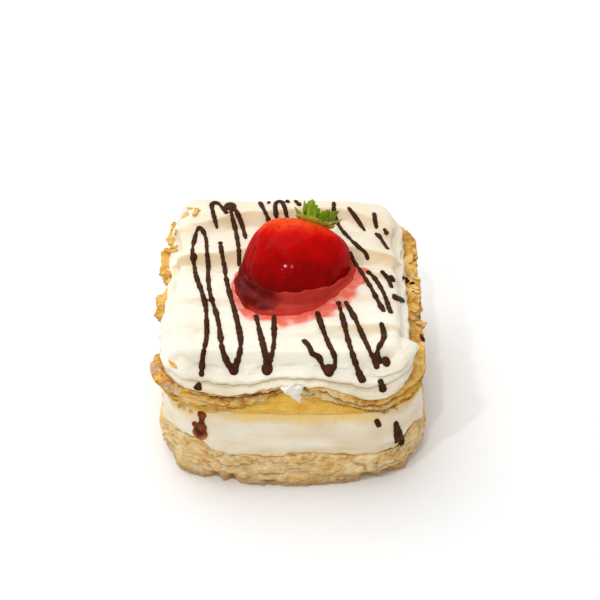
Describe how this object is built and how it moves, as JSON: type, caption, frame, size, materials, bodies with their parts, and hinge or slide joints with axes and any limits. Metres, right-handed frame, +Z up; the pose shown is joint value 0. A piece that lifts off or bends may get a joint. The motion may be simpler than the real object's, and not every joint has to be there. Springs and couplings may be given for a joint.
{
  "type": "mille feuille slice",
  "caption": "Square slice of mille feuille: flaky pastry sheets with cream between and piped on top, chocolate drizzle, and a whole glazed strawberry in the middle.",
  "frame": {"origin": "centre of the slice's footprint, at the level of the surface it rests on", "axes": "+Z up, +X to the right and -Y towards the viewer, who looks at the front of the slice; the strawberry's crown points to +Y"},
  "size_m": [0.1032, 0.1078, 0.0761],
  "materials": {
    "pastry_pale": "pale baked puff pastry, flaky and matt",
    "pastry_golden": "golden-brown puff pastry, crisp, with darker leaf edges",
    "cream": "ivory custard cream, soft satin",
    "chocolate": "set dark chocolate, slight gloss",
    "glaze": "set red fruit glaze, wet gloss",
    "strawberry": "glazed ripe strawberry, wet gloss",
    "leaf": "fresh green strawberry leaves, satin"
  },
  "bodies": {
    "root": {"pastry_bottom": "pastry_pale", "cream_filling": "cream", "pastry_top": "pastry_golden", "cream_top": "cream", "glaze_pool": "glaze", "strawberry": "strawberry", "calyx": "leaf"}
  },
  "joints": []
}
